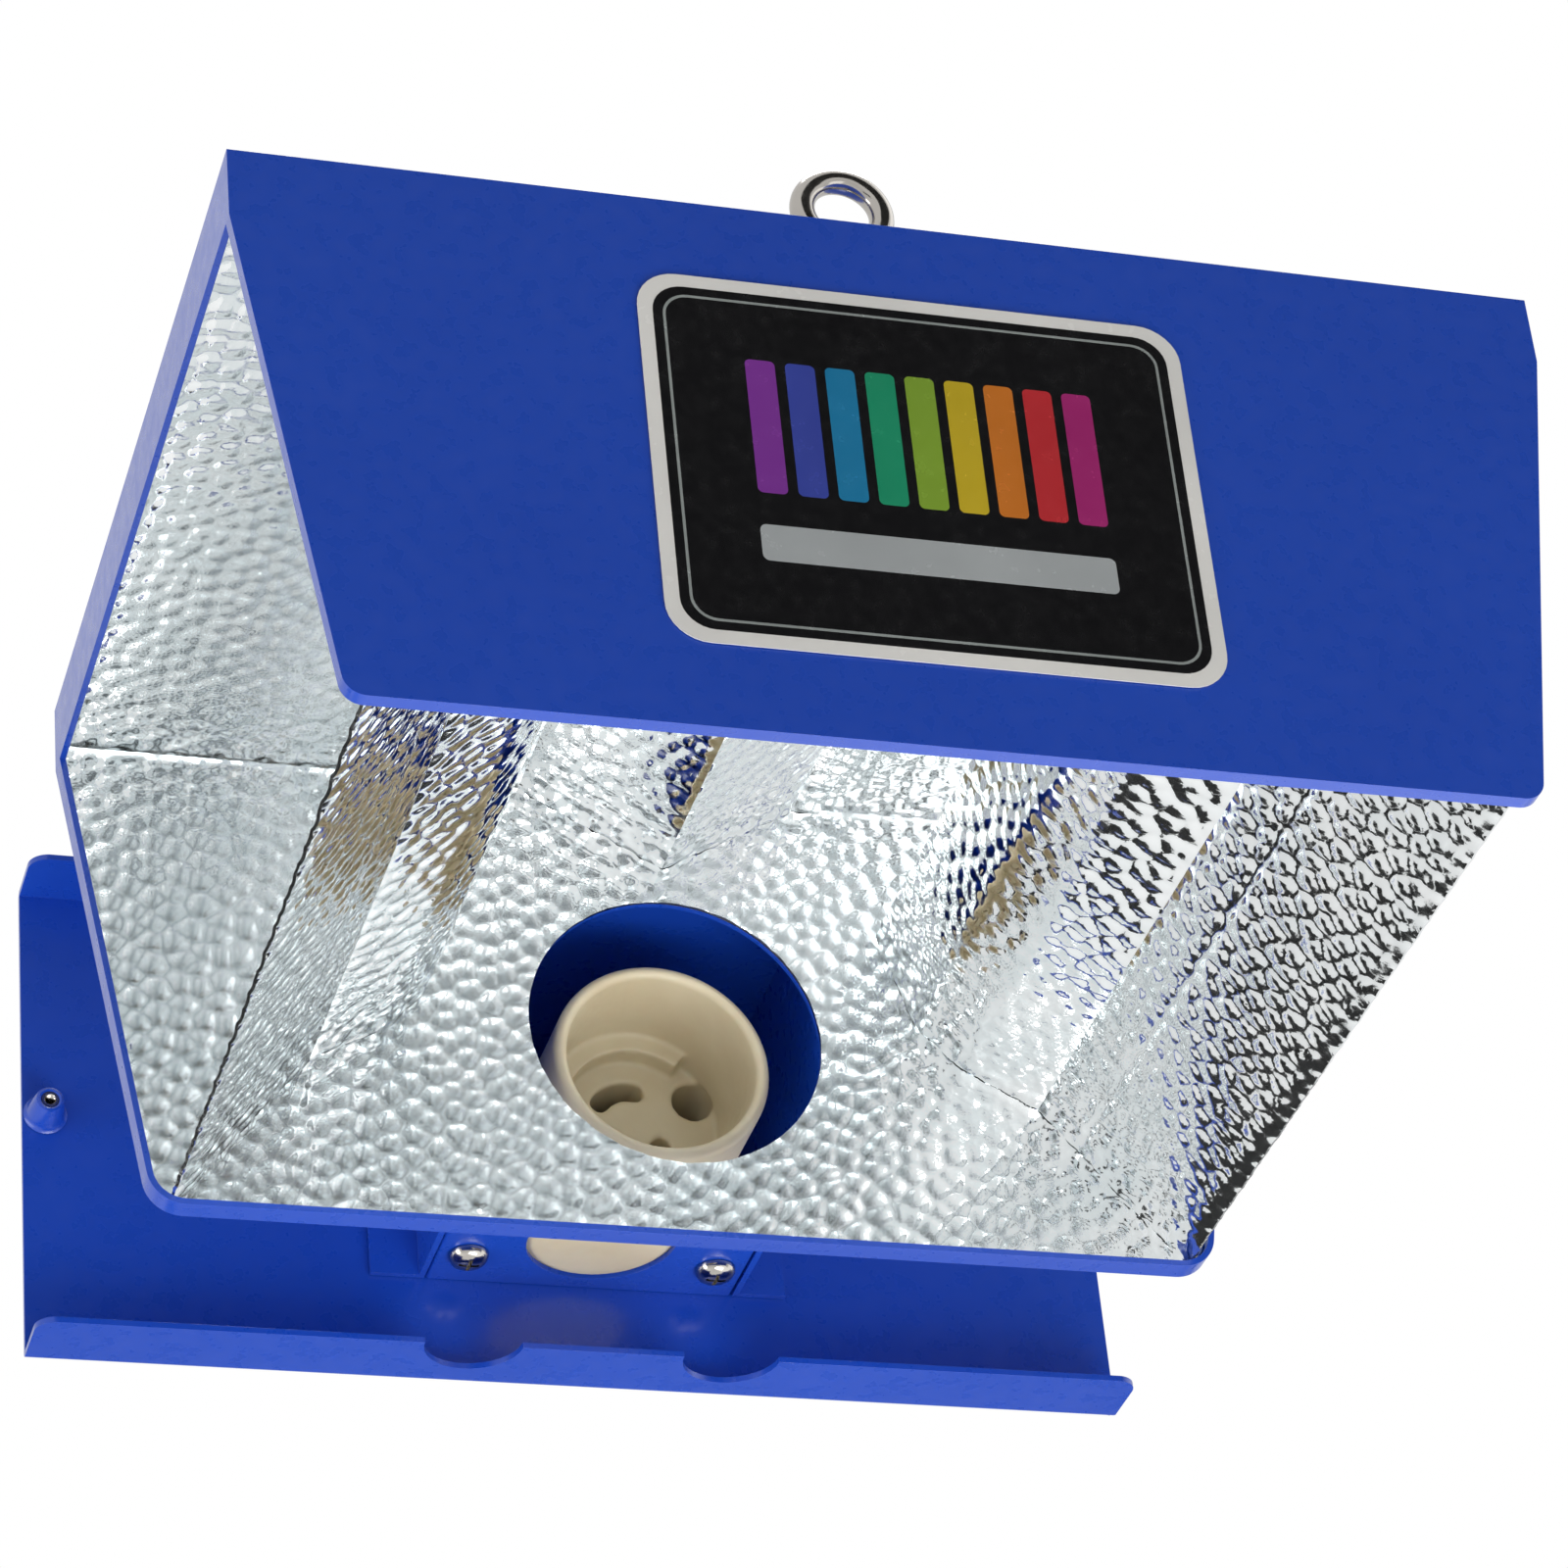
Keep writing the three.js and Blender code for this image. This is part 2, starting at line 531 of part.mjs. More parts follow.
// ---------------------------------------------------------------- assembly
add('hood_shell', hoodShell(), BLUE_PAINT);
add('reflector_liner', reflectorLiner(), HAMMERED);
add('reflector_ridge', reflectorRidge(), HAMMERED);
add('label_plate', labelPlate(), LABEL_PRINT);
add('rear_tray', rearTray(), BLUE_PAINT);
add('holder_housing', holderHousing(), BLUE_PAINT);
add('holder_shelf', holderShelf(), BLUE_PAINT);
add('lamp_holder', lampHolder(), CERAMIC);

for (const [name, side, turn] of [['left', -1, 0], ['right', 1, 180]]) {
  const nutSeat = SEAT_Z + EAR.height + GAP;
  const { x, y, shank, head } = HOLDER_SCREW;
  const { height, across } = HOLDER_NUT;
  add(`reflector_wing_${name}`, reflectorWing(side), HAMMERED);
  add(`tray_boss_${name}`, trayBoss(side), BLUE_PAINT);
  add(`boss_bush_${name}`, bossBush(side), BRIGHT_STEEL);
  add(`holder_contact_${name}`, holderContact(turn), BRASS);
  const tip = nutSeat + height + 2;
  add(`holder_screw_${name}`, panScrew(side * x, y, SHELF_Z - GAP, tip, shank, head), BRIGHT_STEEL);
  add(`holder_nut_${name}`, nut(side * x, y, nutSeat, height, across, shank + 0.2), BRIGHT_STEEL);
  for (const [level, z] of Object.entries(RIVET_Z)) {
    add(`housing_rivet_${name}_${level}`, housingRivet(side, z), BRIGHT_STEEL);
  }
}

for (const [name, y] of Object.entries(EYE_Y)) addEye(name, y);

add('gland_body', glandBody(), BLACK_NYLON);
add('gland_dome', glandDome(), BLACK_NYLON);
add('gland_lock_nut', glandLockNut(), BLACK_NYLON);

lamp.position.y = -(LABEL_FACE + GLAND_FACE + GLAND.length) / 2;

export default lamp;
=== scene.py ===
import math

import bmesh
import bpy
import numpy as np
from mathutils import Matrix, Vector


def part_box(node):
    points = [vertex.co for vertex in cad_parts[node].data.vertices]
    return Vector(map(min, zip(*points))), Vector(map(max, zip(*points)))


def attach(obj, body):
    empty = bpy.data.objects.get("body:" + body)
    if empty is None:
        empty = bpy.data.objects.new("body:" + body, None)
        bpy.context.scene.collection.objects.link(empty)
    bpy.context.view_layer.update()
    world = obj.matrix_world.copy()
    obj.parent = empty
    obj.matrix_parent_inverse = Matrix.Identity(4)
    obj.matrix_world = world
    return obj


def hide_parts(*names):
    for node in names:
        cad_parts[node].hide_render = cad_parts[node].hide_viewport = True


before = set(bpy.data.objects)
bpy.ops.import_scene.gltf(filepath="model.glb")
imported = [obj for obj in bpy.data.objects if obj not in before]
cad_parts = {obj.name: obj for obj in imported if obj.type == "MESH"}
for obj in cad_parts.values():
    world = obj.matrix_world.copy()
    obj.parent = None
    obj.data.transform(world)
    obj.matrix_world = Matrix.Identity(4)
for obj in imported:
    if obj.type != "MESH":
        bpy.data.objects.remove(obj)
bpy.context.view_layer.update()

# Shapes below are written in millimetres, with y = 0 on the front panel's outer face, x = 0 in the middle
# and z = 0 on the mouth's plane. Only y differs from the frame, by FRONT.
MM = 0.001
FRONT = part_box("hood_shell")[0].y / MM
ROOT = "fixture"

SHOULDER_Z, MOUTH_HALF, TOP_HALF = 116, 125, 144
HOOD_HEIGHT, HOOD_DEPTH = 133, 205
HOOD_CORNER = 9                 # rounding of the hood's lower corners at the rear
HOOD_INSET = 1.8                # the painted sheet's thickness and the gap to the reflector inside it
LAMP_Z = 55                     # the lamp's axis, along Y at x = 0
HOLE_Z = 56                     # middle of the round hole behind the lamp
LINER_HOLE_R = 35.3
TRAY_BACK, TRAY_BOTTOM, TRAY_TOP = 300, 13, 143
HOUSING_HALF, HOUSING_TOP, HOUSING_BOTTOM = 40.5, 100, 40
HOLDER_SCREW_X, HOLDER_SCREW_Y = 31, 285


def metres(points):
    """Points in this script's millimetres as an array in the frame's metres."""
    return (np.asarray(points, float) + (0, FRONT, 0)) * MM


def node_mm(node):
    """A CAD node's lowest and highest corners in this script's millimetres."""
    low, high = (np.array(corner) / MM - (0, FRONT, 0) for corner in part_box(node))
    return low, high


# ---------------------------------------------------------------- mesh helpers
SHARP = math.radians(32)        # edges that turn further than this stay sharp in the shading


def finish_mesh(mesh):
    """Smooth shading with sharp edges kept."""
    mesh.polygons.foreach_set("use_smooth", [True] * len(mesh.polygons))
    mesh.set_sharp_from_angle(angle=SHARP)
    mesh.update()


def new_piece(name, vertices, faces):
    """A mesh object from points in millimetres."""
    mesh = bpy.data.meshes.new(name)
    mesh.from_pydata(metres(vertices).tolist(), [], faces)
    finish_mesh(mesh)
    piece = bpy.data.objects.new(name, mesh)
    bpy.context.scene.collection.objects.link(piece)
    return piece


def bake_modifiers(piece):
    """Turns what the modifiers make into the piece's own mesh."""
    graph = bpy.context.evaluated_depsgraph_get()
    mesh = bpy.data.meshes.new_from_object(piece.evaluated_get(graph))
    piece.modifiers.clear()
    piece.data = mesh
    finish_mesh(mesh)
    return piece


def combine(piece, others, operation):
    """Joins to the piece, or cuts from it, each of the other closed meshes, which are used up."""
    for other in others:
        step = piece.modifiers.new(operation, "BOOLEAN")
        step.operation = operation
        step.solver = "MANIFOLD"
        step.object = other
        bake_modifiers(piece)
        bpy.data.objects.remove(other)
    return piece


def lathe(name, profile, centre, axis="Z", sides=96):
    """A [radius, height] profile from axis to axis, turned about a line through centre along Y or Z.
    A profile that closes on itself makes a ring."""
    ring = profile[0] == profile[-1]
    profile = profile[:-1] if ring else profile
    vertices, rows = [], []
    for radius, height in profile:
        steps = 1 if radius == 0 else sides
        rows.append(range(len(vertices), len(vertices) + steps))
        for i in range(steps):
            angle = 2 * math.pi * i / sides
            u, v = radius * math.cos(angle), radius * math.sin(angle)
            spot = (u, v, height) if axis == "Z" else (u, height, v)
            vertices.append(np.add(spot, centre))
    faces = []
    for k in range(len(rows) if ring else len(rows) - 1):
        low, high = rows[k], rows[(k + 1) % len(rows)]
        for i in range(sides):
            j = (i + 1) % sides
            corners = [low[i % len(low)], low[j % len(low)], high[j % len(high)], high[i % len(high)]]
            faces.append(list(dict.fromkeys(corners)))
    return outward(new_piece(name, vertices, faces))


def outward(piece):
    """Turns every face of a closed mesh to point out."""
    work = bmesh.new()
    work.from_mesh(piece.data)
    bmesh.ops.recalc_face_normals(work, faces=work.faces)
    work.to_mesh(piece.data)
    work.free()
    finish_mesh(piece.data)
    return piece


def prism(name, outline, low, high, axis="Y"):
    """An outline of [x, z] points extruded along Y, or of [x, y] points along Z."""
    count = len(outline)
    lift = (lambda u, v, w: (u, w, v)) if axis == "Y" else (lambda u, v, w: (u, v, w))
    vertices = [lift(u, v, w) for w in (low, high) for u, v in outline]
    sides = [[i, (i + 1) % count, count + (i + 1) % count, count + i] for i in range(count)]
    faces = [list(range(count)), list(range(count, 2 * count))] + sides
    return outward(new_piece(name, vertices, faces))


def arc(u, v, r, start, stop, steps=12):
    """Points on a circle about (u, v), angles in degrees."""
    angles = np.radians(np.linspace(start, stop, steps + 1))
    return [(u + r * math.cos(a), v + r * math.sin(a)) for a in angles]


def rounded(u0, u1, v0, v1, r):
    """The outline of a rectangle with round corners."""
    corners = ((u1 - r, v0 + r, -90), (u1 - r, v1 - r, 0), (u0 + r, v1 - r, 90), (u0 + r, v0 + r, 180))
    return [p for u, v, a in corners for p in arc(u, v, r, a, a + 90, 8)]


def hexagon(x, y, across):
    """The outline of a hexagon of that width across its flats."""
    return arc(x, y, across / math.sqrt(3), 0, 300, 5)


EDGE = 0.3                      # rounding of a sheet's cut edges
WELD = 2e-6                     # metres within which two corners of a CAD mesh are one
LEAST_TURN = math.radians(25)   # an edge that turns less than this isn't rounded


def softened(node, name, is_fold, fold):
    """A copy of a CAD sheet with its outer folds rounded by fold, and every other sharp edge by EDGE."""
    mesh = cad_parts[node].data.copy()
    work = bmesh.new()
    work.from_mesh(mesh)
    bmesh.ops.remove_doubles(work, verts=work.verts, dist=WELD)
    bmesh.ops.dissolve_limit(work, angle_limit=math.radians(0.5), verts=work.verts, edges=work.edges)

    def sharp_edges(wanted):
        found = []
        for e in work.edges:
            if len(e.link_faces) == 2 and e.calc_face_angle() > LEAST_TURN:
                ends = [np.array(v.co) / MM - (0, FRONT, 0) for v in e.verts]
                if is_fold(*ends) == wanted:
                    found.append(e)
        return found

    for wanted, radius, segments in ((True, fold, 5), (False, EDGE, 2)):
        edges = sharp_edges(wanted)
        if edges:
            bmesh.ops.bevel(work, geom=edges, offset=radius * MM, offset_type="OFFSET", segments=segments,
                            profile=0.5, affect="EDGES", clamp_overlap=True)
    work.to_mesh(mesh)
    work.free()
    finish_mesh(mesh)
    mesh.materials.clear()
    piece = bpy.data.objects.new(name, mesh)
    bpy.context.scene.collection.objects.link(piece)
    flatten = piece.modifiers.new("flat_faces", "WEIGHTED_NORMAL")
    flatten.keep_sharp = True
    flatten.weight = 100
    return piece


def place(piece, material, slot, body, *nodes):
    """Gives a piece its material and body, and hides the CAD nodes it stands for."""
    piece.data.materials.clear()
    piece.data.materials.append(material)
    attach(piece, body)
    if nodes:
        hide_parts(*nodes)
    return piece


# ---------------------------------------------------------------- materials
class Nodes:
    """A Principled material with helpers to add procedural detail in object space."""

    def __init__(self, name, color, roughness, metallic=0.0):
        self.material = bpy.data.materials.new(name)
        self.material.use_nodes = True
        self.tree = self.material.node_tree
        self.shader = self.tree.nodes["Principled BSDF"]
        self.set("Base Color", (*color, 1))
        self.set("Roughness", roughness)
        self.set("Metallic", metallic)
        self.space = self.tree.nodes.new("ShaderNodeTexCoord")

    def set(self, socket, value):
        self.shader.inputs[socket].default_value = value

    def noise(self, scale, detail):
        """A noise value between about 0.3 and 0.7, with scale in cycles per metre."""
        node = self.tree.nodes.new("ShaderNodeTexNoise")
        node.inputs["Scale"].default_value = scale
        node.inputs["Detail"].default_value = detail
        self.tree.links.new(self.space.outputs["Object"], node.inputs["Vector"])
        return node.outputs["Fac"]

    def spread(self, value, low, high, socket):
        """Maps a noise value to a range and feeds a number socket."""
        node = self.tree.nodes.new("ShaderNodeMapRange")
        for key, number in (("From Min", 0.3), ("From Max", 0.7), ("To Min", low), ("To Max", high)):
            node.inputs[key].default_value = number
        self.tree.links.new(value, node.inputs["Value"])
        self.tree.links.new(node.outputs["Result"], self.shader.inputs[socket])

    def tint(self, value, dark, light):
        """Lets a noise value move the colour between two close tones."""
        ramp = self.tree.nodes.new("ShaderNodeValToRGB")
        for element, position, color in zip(ramp.color_ramp.elements, (0.35, 0.65), (dark, light)):
            element.position = position
            element.color = (*color, 1)
        self.tree.links.new(value, ramp.inputs["Fac"])
        self.tree.links.new(ramp.outputs["Color"], self.shader.inputs["Base Color"])

    def bump(self, value, strength, depth):
        """Fine grain only, with its depth in metres: visible shapes are in the mesh."""
        node = self.tree.nodes.new("ShaderNodeBump")
        node.inputs["Strength"].default_value = strength
        node.inputs["Distance"].default_value = depth
        self.tree.links.new(value, node.inputs["Height"])
        self.tree.links.new(node.outputs["Normal"], self.shader.inputs["Normal"])


def blue_paint():
    m = Nodes("blue_powder_coat", (0.0075, 0.06, 0.46), 0.3)
    m.tint(m.noise(9, 3), (0.007, 0.057, 0.445), (0.008, 0.063, 0.475))
    m.spread(m.noise(260, 2), 0.25, 0.34, "Roughness")
    m.bump(m.noise(1100, 1), 0.04, 0.00006)
    m.set("Coat Weight", 0.3)
    m.set("Coat Roughness", 0.12)
    return m.material


def hammered_aluminium():
    m = Nodes("hammered_aluminium", (0.92, 0.95, 0.96), 0.08, 1.0)
    m.tint(m.noise(60, 2), (0.88, 0.92, 0.93), (0.95, 0.97, 0.975))
    m.spread(m.noise(420, 3), 0.045, 0.11, "Roughness")
    m.bump(m.noise(900, 2), 0.12, 0.00012)
    return m.material


def ceramic():
    m = Nodes("steatite_ceramic", (0.65, 0.565, 0.39), 0.42)
    m.tint(m.noise(55, 4), (0.62, 0.53, 0.36), (0.68, 0.6, 0.43))
    m.spread(m.noise(500, 3), 0.34, 0.52, "Roughness")
    m.bump(m.noise(1400, 2), 0.12, 0.0001)
    m.set("Subsurface Weight", 0.08)
    m.set("Subsurface Scale", 0.002)
    return m.material


def steel(name, color, low, high):
    """Bare metal with its roughness between low and high."""
    m = Nodes(name, color, low, 1.0)
    m.spread(m.noise(300, 3), low, high, "Roughness")
    m.tint(m.noise(90, 2), tuple(0.93 * c for c in color), color)
    m.bump(m.noise(1500, 1), 0.06, 0.00005)
    return m.material


def black_nylon():
    m = Nodes("black_nylon", (0.012, 0.012, 0.013), 0.5)
    m.spread(m.noise(700, 2), 0.42, 0.6, "Roughness")
    m.tint(m.noise(120, 2), (0.009, 0.009, 0.010), (0.016, 0.016, 0.018))
    m.bump(m.noise(1800, 2), 0.25, 0.0001)
    return m.material


def print_ink(name, color, metallic=0.0):
    """Glossy ink under a clear film."""
    m = Nodes(name, color, 0.22, metallic)
    m.spread(m.noise(350, 2), 0.16, 0.28, "Roughness")
    m.tint(m.noise(30, 2), tuple(0.9 * c for c in color), color)
    m.set("Coat Weight", 0.5)
    m.set("Coat Roughness", 0.05)
    return m.material


BLUE = blue_paint()
HAMMERED = hammered_aluminium()
CERAMIC = ceramic()
BRIGHT = steel("polished_steel", (0.5, 0.475, 0.44), 0.1, 0.2)
BRASS = steel("dull_brass", (0.6, 0.44, 0.16), 0.25, 0.4)
NYLON = black_nylon()


# ---------------------------------------------------------------- hammered reflector sheets
CELL = 6.0                      # mean spacing of the pebbles
ROW = CELL * math.sqrt(3) / 2   # spacing of the grid's rows
JITTER = 0.3                    # how far a pebble strays from its place in the grid, in cells
JITTER_COUNT = 64               # the strays repeat after this many rows or columns
JITTER_SEED = 20
DOME_HEIGHT, DOME_REACH = 0.24, 0.62 * CELL
STEP_HEIGHT, STEP_WIDTH = 0.26, 1.5     # the step up from the crease between two pebbles
BEND_FADE = 1.6                 # the relief flattens out this far from a bend
FOIL = 0.6


def pebbles(s, t):
    """Height of the hammered relief at developed coordinates: domes on a jittered hexagonal grid."""
    draw = np.random.default_rng(JITTER_SEED)
    shift = draw.uniform(-JITTER, JITTER, (JITTER_COUNT, JITTER_COUNT, 2))
    row0 = np.floor(t / ROW).astype(int)
    nearest = np.full(s.shape, np.inf)
    second = np.full(s.shape, np.inf)
    for dr in (-1, 0, 1):
        row = row0 + dr
        offset = (row % 2) * CELL / 2
        column0 = np.floor((s - offset) / CELL).astype(int)
        for dc in (-1, 0, 1):
            column = column0 + dc
            move = shift[row % JITTER_COUNT, column % JITTER_COUNT]
            u = (column + 0.5 + move[..., 0]) * CELL + offset
            v = (row + 0.5) * ROW + move[..., 1] * CELL
            distance = np.hypot(s - u, t - v)
            second = np.minimum(second, np.maximum(nearest, distance))
            nearest = np.minimum(nearest, distance)
    dome = np.clip(1 - (nearest / DOME_REACH) ** 2, 0, None)
    step = 1 - np.exp((nearest - second) / STEP_WIDTH)
    return DOME_HEIGHT * dome + STEP_HEIGHT * step


def section_samples(line, steps):
    """Points, left-hand normals and developed lengths along a bent line, with one step size per leg."""
    line = np.asarray(line, float)
    legs = np.diff(line, axis=0)
    points, lengths, run = [line[0]], [0.0], 0.0
    for start, leg, step in zip(line, legs, steps):
        length = np.linalg.norm(leg)
        count = max(2, round(length / step))
        for k in range(1, count + 1):
            points.append(start + leg * k / count)
            lengths.append(run + length * k / count)
        run += length
    points = np.array(points)
    along = np.gradient(points, np.array(lengths), axis=0)
    along /= np.linalg.norm(along, axis=1, keepdims=True)
    return points, np.stack([-along[:, 1], along[:, 0]], axis=1), np.array(lengths)


def hammered_sheet(name, line, steps, low, high, pitch, both_sides, to_space, origin=0.0):
    """A bent line swept straight from low to high. Its left side carries the relief, and its right side
    lies FOIL away, hammered as well or flat. steps are the mesh's steps along each leg and pitch the step
    across. to_space turns (u, v, w) arrays into x, y, z. origin picks another stretch of the pebbles."""
    points, normals, lengths = section_samples(line, steps)
    w = np.linspace(low, high, round((high - low) / pitch) + 1)
    height = pebbles(*np.meshgrid(lengths + origin, w, indexing="ij"))
    away = np.abs(lengths[:, None] - bend_lengths(line)).min(axis=1)
    height *= np.clip(away / BEND_FADE, 0, 1)[:, None]
    rows, columns = height.shape

    def layer(lift):
        u = points[:, None, 0] + normals[:, None, 0] * lift
        v = points[:, None, 1] + normals[:, None, 1] * lift
        return np.stack(to_space(u, v, np.broadcast_to(w, u.shape)), axis=-1).reshape(-1, 3)

    shown = layer(height)
    grid = np.arange(rows * columns).reshape(rows, columns)
    quads = np.stack([grid[:-1, :-1], grid[1:, :-1], grid[1:, 1:], grid[:-1, 1:]], axis=-1).reshape(-1, 4)
    if both_sides:
        back = layer(height - FOIL)
        count = rows * columns
        rim = np.concatenate([grid[:-1, 0], grid[-1, :-1], grid[:0:-1, -1], grid[0, :0:-1]])
        following = np.roll(rim, -1)
        sides = np.stack([rim, following, following + count, rim + count], axis=-1)
        faces = np.concatenate([quads, quads[:, ::-1] + count, sides]).tolist()
    else:
        corners = [0] + [int(np.searchsorted(lengths, b)) for b in bend_lengths(line)] + [rows - 1]
        flat = layer(np.full((rows, columns), -FOIL)).reshape(rows, columns, 3)
        back = flat[corners][:, [0, -1]].reshape(-1, 3)
        base = rows * columns
        pairs = [(base + 2 * k, base + 2 * k + 1) for k in range(len(corners))]
        faces = quads.tolist()
        faces += [[a[0], a[1], b[1], b[0]] for a, b in zip(pairs, pairs[1:])]
        faces += [grid[:, 0].tolist() + [p[0] for p in reversed(pairs)]]
        faces += [grid[:, -1].tolist() + [p[1] for p in reversed(pairs)]]
        faces += [grid[0].tolist() + [pairs[0][1], pairs[0][0]]]
        faces += [grid[-1].tolist() + [pairs[-1][1], pairs[-1][0]]]
    return outward(new_piece(name, np.concatenate([shown, back]), faces))


def bend_lengths(line):
    """How far along the developed line each bend lies."""
    legs = np.linalg.norm(np.diff(np.asarray(line, float), axis=0), axis=1)
    return np.cumsum(legs)[:-1] - 1e-6


def hood_outline(inset, corner, top):
    """The front panel's outline in [x, z], inset evenly."""
    slope = math.atan2(SHOULDER_Z, TOP_HALF - MOUTH_HALF)
    mouth = MOUTH_HALF - inset / math.sin(slope) + inset / math.tan(slope)
    bend = SHOULDER_Z - inset * math.tan(math.pi / 4 - slope / 2)
    u = mouth - corner * math.tan(slope / 2)
    turn = math.degrees(slope)
    right = arc(u, inset + corner, corner, -90, turn - 90, 8)
    left = arc(-u, inset + corner, corner, 270 - turn, 270, 8)
    return right + [(TOP_HALF - inset, bend), (TOP_HALF - inset, top), (inset - TOP_HALF, top),
                    (inset - TOP_HALF, bend)] + left


def trimmed_to_hood(piece):
    """Cuts a reflector sheet to the outline inside the hood's panels and turned-in edges."""
    outline = hood_outline(HOOD_INSET, HOOD_CORNER - HOOD_INSET, HOOD_HEIGHT + 7)
    return combine(piece, [prism("hood_inside", outline, -5, HOOD_DEPTH + 5)], "INTERSECT")


def liner():
    low, high = node_mm("reflector_liner")
    front, back, ceiling = low[1] + FOIL, high[1] - FOIL, high[2] - FOIL
    line = [(back, 0), (back, ceiling), (front, ceiling), (front, 0)]
    piece = hammered_sheet(
        "reflector_liner_hammered", line, (0.85, 1.15, 1.5), low[0] - 1, high[0] + 1, 1.05, False,
        lambda u, v, w: (w, u, v))
    trimmed_to_hood(piece)
    r, start, stop = LINER_HOLE_R, HOOD_DEPTH - 55, HOOD_DEPTH + 25
    hole = lathe("hole_cutter", [(0, start), (r, start), (r, stop), (0, stop)], (0, 0, HOLE_Z), "Y", 128)
    combine(piece, [hole], "DIFFERENCE")
    place(piece, HAMMERED, "hammered_aluminium", ROOT, "reflector_liner")


# A wing's section from the lip at the mouth to the free edge beside the ridge, for the right side.
WING = [(124.4, 0), (118.6, 3.6), (96.1, 31), (87.5, 41.5), (69.1, 51.5), (59.4, 62), (52.1, 86.8)]


def wing(side, name):
    low, high = node_mm(f"reflector_wing_{name}")
    line = [(side * x, z) for x, z in (WING if side > 0 else reversed(WING))]
    piece = hammered_sheet(
        f"reflector_wing_{name}_hammered", line, [1.0] * 6, low[1], high[1], 1.0, True,
        lambda u, v, w: (u, w, v), origin=300 + 100 * side)
    trimmed_to_hood(piece)
    place(piece, HAMMERED, "hammered_aluminium", ROOT, f"reflector_wing_{name}")


def ridge():
    low, high = node_mm("reflector_ridge")
    foot, half, top = 41, 34, high[2] - 0.7
    line = [(foot, top), (half, top), (0, low[2] + 0.3), (-half, top), (-foot, top)]
    piece = hammered_sheet(
        "reflector_ridge_hammered", line, [1.1] * 4, low[1], high[1], 1.1, True,
        lambda u, v, w: (u, w, v), origin=600)
    place(piece, HAMMERED, "hammered_aluminium", ROOT, "reflector_ridge")


liner()
ridge()
for side, name in ((-1, "left"), (1, "right")):
    wing(side, name)


# ---------------------------------------------------------------- painted sheets
X, Y, Z = 0, 1, 2


def near(a, b):
    """Whether two measures in millimetres are one."""
    return abs(a - b) < 0.05


def hood_fold(start, end):
    in_hole = all(math.hypot(p[X], p[Z] - HOLE_Z) < 37 for p in (start, end))
    folds = ((Y, 0), (Y, HOOD_DEPTH), (Z, HOOD_HEIGHT))
    return not in_hole and any(near(start[a], value) and near(end[a], value) for a, value in folds)


def tray_fold(start, end):
    along = near(start[Y], TRAY_BACK) and near(end[Y], TRAY_BACK) and near(start[Z], end[Z])
    return along and (near(start[Z], TRAY_TOP) or near(start[Z], TRAY_BOTTOM))


def housing_fold(start, end):
    along = near(start[Z], HOUSING_TOP) and near(end[Z], HOUSING_TOP) and near(start[X], end[X])
    return along and near(abs(start[X]), HOUSING_HALF)


def shelf_fold(start, end):
    along = near(start[Z], HOUSING_BOTTOM) and near(end[Z], HOUSING_BOTTOM) and near(start[X], end[X])
    return along and abs(start[X]) > HOUSING_HALF - 2.5


def painted_sheet(node, is_fold, fold=1.3):
    place(softened(node, f"{node}_folded", is_fold, fold), BLUE, "blue_paint", ROOT, node)


painted_sheet("hood_shell", hood_fold)
painted_sheet("rear_tray", tray_fold)
painted_sheet("holder_housing", housing_fold)
painted_sheet("holder_shelf", shelf_fold, fold=1.1)


def tray_boss(side, name):
    """A conical boss on the tray and the threaded bush inside it."""
    x, z, base = side * 131, 79, TRAY_BACK - 1.8
    boss = lathe(f"tray_boss_{name}_turned", [
        (2.2, base), (5.4, base), (4.8, base - 0.5), (4.5, base - 1.4), (3.7, base - 6.4), (3.3, base - 7.3),
        (2.7, base - 7.5), (2.2, base - 7.3), (2.2, base)], (x, 0, z), "Y", 64)
    place(boss, BLUE, "blue_paint", ROOT, f"tray_boss_{name}")
    thread = [(2.05, base - 0.3), (2.05, base - 7.4), (1.45, base - 7.4)]
    for k in range(12):
        thread += [(1.25, base - 7.1 + 0.55 * k), (1.5, base - 6.8 + 0.55 * k)]
    thread += [(1.4, base - 0.3), (2.05, base - 0.3)]
    bush = lathe(f"boss_bush_{name}_threaded", thread, (x, 0, z), "Y", 48)
    place(bush, BRIGHT, "bright_steel", ROOT, f"boss_bush_{name}")


# ---------------------------------------------------------------- ceramic lamp holder
def around_lamp(angle, distance):
    """A place in [x, z] about the lamp's axis, with 0 degrees to the right and 90 upwards."""
    turn = math.radians(angle)
    return distance * math.cos(turn), LAMP_Z + distance * math.sin(turn)


def pin_slot(name, turn, low, high):
    """A cutter for a curved slot with round ends, about the lamp's axis and turned by turn degrees."""
    start, stop, mid, half = 80 + turn, 143 + turn, 9.0, 2.35
    outline = arc(0, LAMP_Z, mid + half, start, stop, 20)
    outline += arc(*around_lamp(stop, mid), half, stop, stop + 180, 12)[1:-1]
    outline += arc(0, LAMP_Z, mid - half, stop, start, 20)
    outline += arc(*around_lamp(start, mid), half, start - 180, start, 12)[1:-1]
    return prism(name, outline, low, high)


